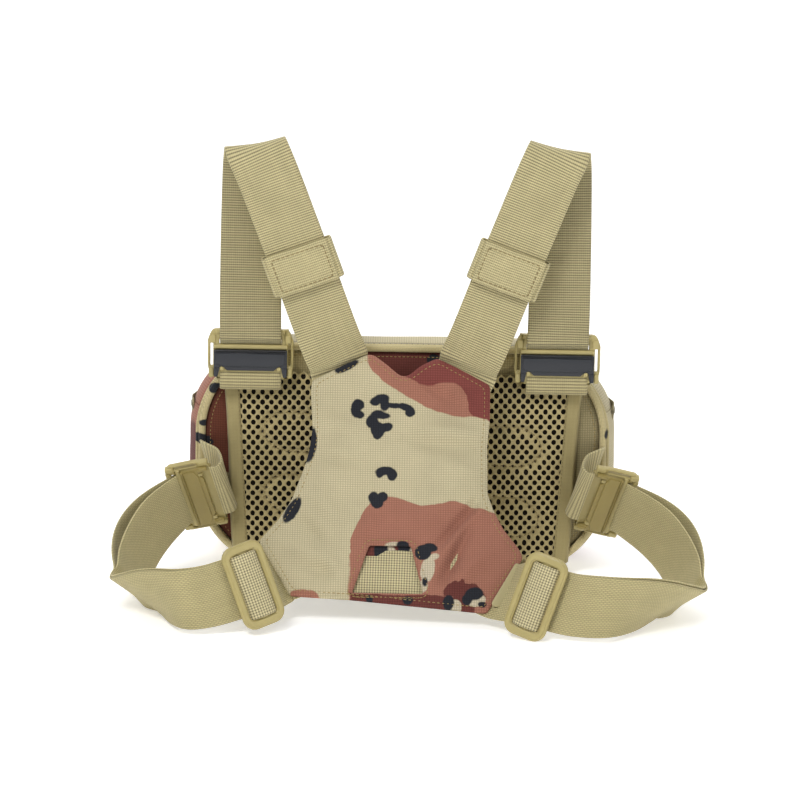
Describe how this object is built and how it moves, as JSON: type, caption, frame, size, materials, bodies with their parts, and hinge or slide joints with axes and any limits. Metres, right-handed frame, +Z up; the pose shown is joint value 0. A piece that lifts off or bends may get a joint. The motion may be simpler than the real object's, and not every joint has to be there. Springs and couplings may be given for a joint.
{
  "type": "binocular harness pack",
  "caption": "Padded chest pack for binoculars with mesh back pad, hinged lid, front pocket, and a camouflage yoke harness on adjustable webbing with hook buckles.",
  "frame": {"origin": "on the floor, at the middle of the flat base of the pack", "axes": "+X across the pack, towards the wearer's left when worn; -Y towards the wearer, where the harness is; +Z up"},
  "size_m": [0.3675, 0.238, 0.2847],
  "materials": {
    "camo_fabric": "ripstop weave, printed",
    "tan_fabric": "plain weave",
    "webbing": "ribbed woven webbing",
    "spacer_mesh": "open hexagonal spacer mesh",
    "lining": "coated lining",
    "foam": "closed-cell foam",
    "sheet_plastic": "sheet",
    "tan_plastic": "moulded",
    "black_plastic": "moulded",
    "zipper": "coil"
  },
  "bodies": {
    "pack": {"main_shell": "camo_fabric", "lining": "lining", "rear_panel": "camo_fabric", "rear_piping": "tan_fabric", "front_piping": "tan_fabric", "frame_sheet": "sheet_plastic", "back_foam": "foam", "back_mesh": "spacer_mesh", "mesh_binding_left": "tan_fabric", "mesh_binding_right": "tan_fabric", "buckle_loop_left": "webbing", "buckle_loop_right": "webbing", "side_tab_left": "webbing", "side_tab_right": "webbing", "lid_hinge_tape": "tan_fabric", "main_zipper": "zipper", "front_pocket": "camo_fabric", "pocket_zipper": "zipper", "front_webbing": "webbing"},
    "lid": {"lid_shell": "camo_fabric", "lid_piping": "tan_fabric"},
    "zip_slider": {"zip_slider": "tan_plastic"},
    "zip_pull": {"zip_pull": "tan_plastic"},
    "pocket_slider": {"pocket_slider": "tan_plastic"},
    "pocket_pull": {"pocket_pull": "tan_plastic"},
    "harness": {"yoke_panel": "camo_fabric", "yoke_foam": "foam", "yoke_lining": "tan_fabric", "yoke_bridge": "webbing", "yoke_tag": "tan_fabric", "shoulder_strap_left": "webbing", "buckle_frame_left": "tan_plastic", "side_strap_left": "webbing", "side_frame_left": "tan_plastic", "shoulder_strap_right": "webbing", "buckle_frame_right": "tan_plastic", "side_strap_right": "webbing", "side_frame_right": "tan_plastic"},
    "keeper_left": {"keeper_left": "webbing", "keeper_patch_left": "webbing"},
    "hook_plate_left": {"hook_plate_left": "black_plastic"},
    "side_plate_left": {"side_plate_left": "tan_plastic"},
    "adjuster_left": {"side_slider_left": "tan_plastic", "slider_wrap_left": "webbing"},
    "keeper_right": {"keeper_right": "webbing", "keeper_patch_right": "webbing"},
    "hook_plate_right": {"hook_plate_right": "black_plastic"},
    "side_plate_right": {"side_plate_right": "tan_plastic"},
    "adjuster_right": {"side_slider_right": "tan_plastic", "slider_wrap_right": "webbing"}
  },
  "joints": [
    {"name": "lid_hinge", "type": "hinge", "parent": "pack", "child": "lid", "pos_m": [0, 0.0445, 0.104], "axis": [-1, 0, 0], "range_deg": [0, 95]},
    {"name": "zip_travel", "type": "slide", "parent": "pack", "child": "zip_slider", "axis": [-0.365, 0.931, 0], "range_m": [-0.038, 0]},
    {"name": "zip_pull_hinge", "type": "hinge", "parent": "zip_slider", "child": "zip_pull", "pos_m": [0.1229, 0.02639, 0.1014], "axis": [0.365, -0.931, 0], "range_deg": [0, 100]},
    {"name": "pocket_zip_travel", "type": "slide", "parent": "pack", "child": "pocket_slider", "axis": [1, 0, 0], "range_m": [-0.118, 0.004]},
    {"name": "pocket_pull_hinge", "type": "hinge", "parent": "pocket_slider", "child": "pocket_pull", "pos_m": [0.06, 0.0537, 0.0832], "axis": [1, 0, 0], "range_deg": [0, 120]},
    {"name": "harness_swing", "type": "hinge", "parent": "pack", "child": "harness", "pos_m": [0, -0.054, 0.131], "axis": [-1, 0, 0], "range_deg": [0, 30]},
    {"name": "keeper_travel_left", "type": "slide", "parent": "harness", "child": "keeper_left", "axis": [-0.3385, -0.0692, 0.9384], "range_m": [-0.015, 0.015]},
    {"name": "top_release_left", "type": "hinge", "parent": "harness", "child": "hook_plate_left", "pos_m": [-0.095, -0.0585, 0.147], "axis": [-1, 0, 0], "range_deg": [0, 35]},
    {"name": "side_release_left", "type": "hinge", "parent": "harness", "child": "side_plate_left", "pos_m": [-0.13247, -0.06237, 0.05139], "axis": [0.2509, 0.4006, -0.8812], "range_deg": [0, 35]},
    {"name": "adjuster_travel_left", "type": "slide", "parent": "harness", "child": "adjuster_left", "axis": [0.9051, 0.4088, 0.1168], "range_m": [-0.006, 0.006]},
    {"name": "keeper_travel_right", "type": "slide", "parent": "harness", "child": "keeper_right", "axis": [0.3385, -0.0692, 0.9384], "range_m": [-0.015, 0.015]},
    {"name": "top_release_right", "type": "hinge", "parent": "harness", "child": "hook_plate_right", "pos_m": [0.095, -0.0585, 0.147], "axis": [-1, 0, 0], "range_deg": [0, 35]},
    {"name": "side_release_right", "type": "hinge", "parent": "harness", "child": "side_plate_right", "pos_m": [0.13247, -0.06237, 0.05139], "axis": [0.2509, -0.4006, 0.8812], "range_deg": [0, 35]},
    {"name": "adjuster_travel_right", "type": "slide", "parent": "harness", "child": "adjuster_right", "axis": [-0.93, 0.3487, 0.1162], "range_m": [-0.006, 0.006]}
  ]
}
